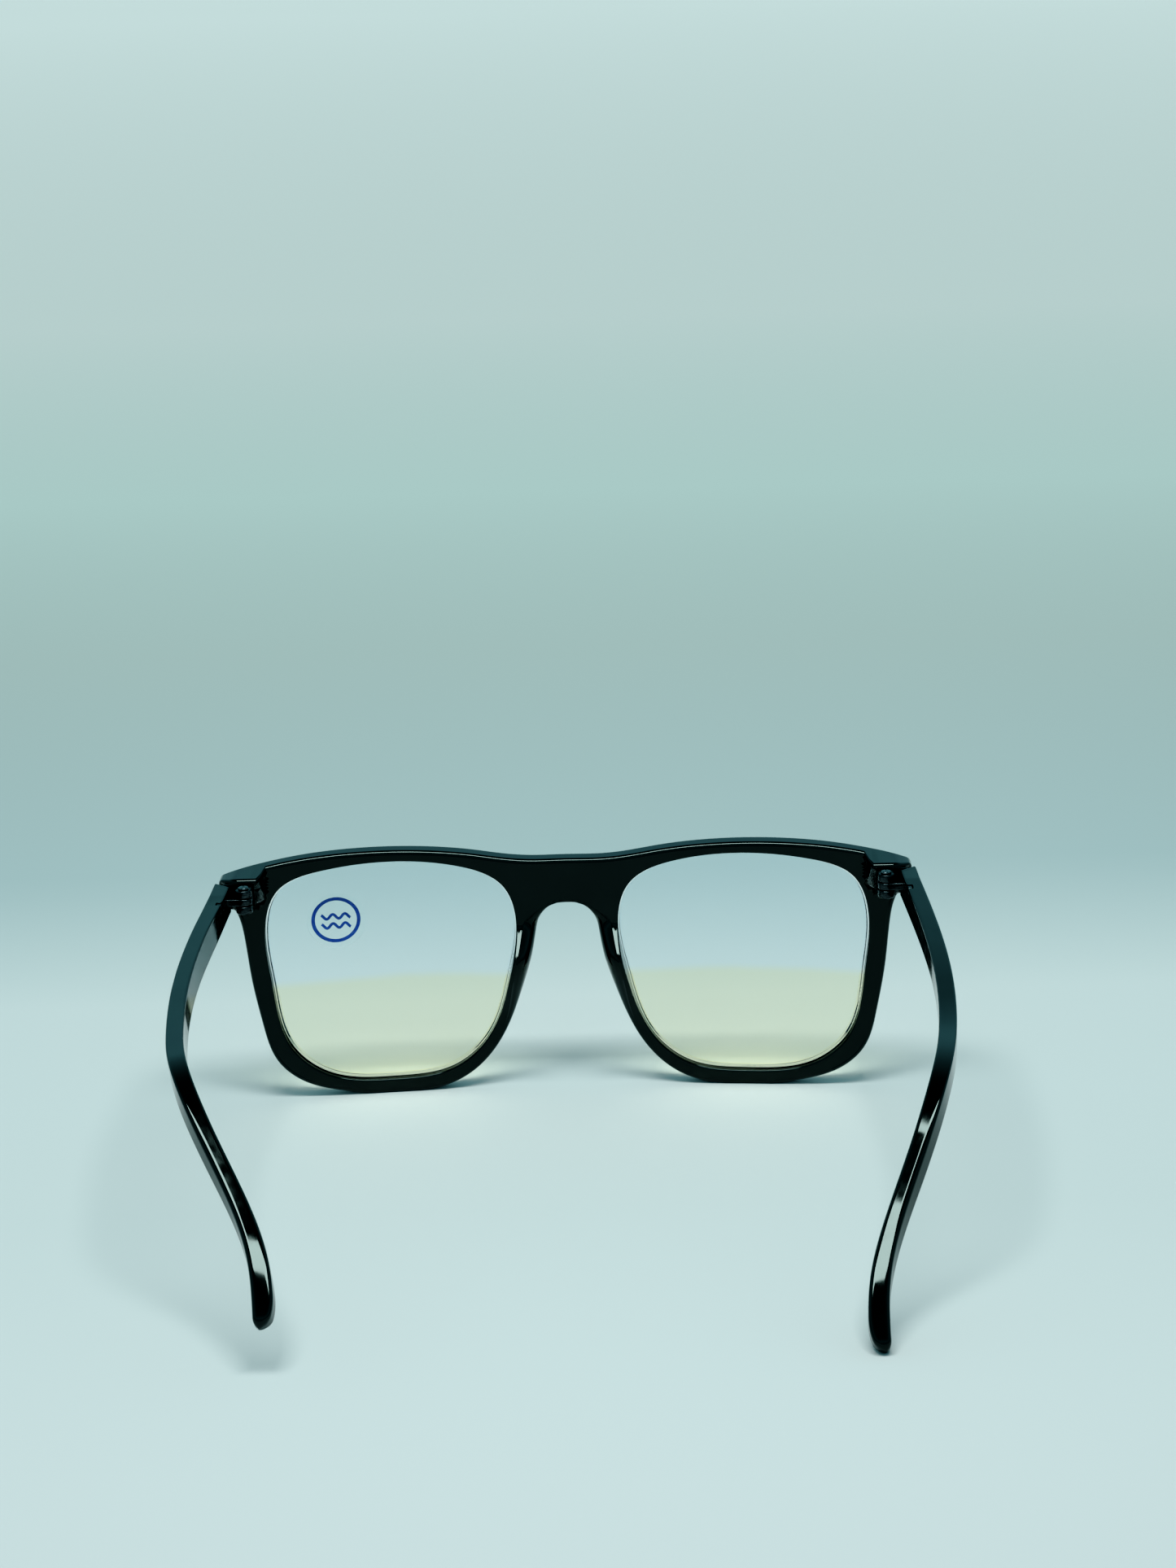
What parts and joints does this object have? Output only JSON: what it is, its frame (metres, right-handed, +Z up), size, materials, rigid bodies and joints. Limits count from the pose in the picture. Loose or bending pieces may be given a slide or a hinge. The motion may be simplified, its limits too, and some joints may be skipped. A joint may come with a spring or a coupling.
{
  "type": "blue light glasses",
  "caption": "Full-rim gloss black eyeglasses with pale blue-filter lenses, moulded nose pads and temples that fold on screwed three-knuckle hinges.",
  "frame": {"origin": "middle of the ground that the open glasses cover", "axes": "+X towards the wearer's left, the front faces -Y, the temples run to +Y, +Z up"},
  "size_m": [0.15, 0.1394, 0.053],
  "materials": {
    "frame_plastic": "high gloss black moulded plastic",
    "filter_lens": "clear polished lens with a pale yellow-green blue filter tint and an anti-reflection coat",
    "hinge_metal": "black plated hinge metal",
    "screw_steel": "small turned steel screw",
    "label_film": "clear film label with a plain dark blue printed ring"
  },
  "bodies": {
    "front": {"front_frame": "frame_plastic", "left_lens": "filter_lens", "right_lens": "filter_lens", "left_front_hinge": "hinge_metal", "right_front_hinge": "hinge_metal", "left_hinge_screw": "screw_steel", "right_hinge_screw": "screw_steel", "lens_label": "label_film"},
    "left_temple": {"left_temple": "frame_plastic", "left_temple_hinge": "hinge_metal"},
    "right_temple": {"right_temple": "frame_plastic", "right_temple_hinge": "hinge_metal"}
  },
  "joints": [
    {"name": "left_temple_fold", "type": "hinge", "parent": "front", "child": "left_temple", "pos_m": [0.0655, -0.054, 0.0463], "axis": [0, 0, 1], "range_deg": [0, 85]},
    {"name": "right_temple_fold", "type": "hinge", "parent": "front", "child": "right_temple", "pos_m": [-0.0655, -0.054, 0.0463], "axis": [0, 0, -1], "range_deg": [0, 80]}
  ]
}
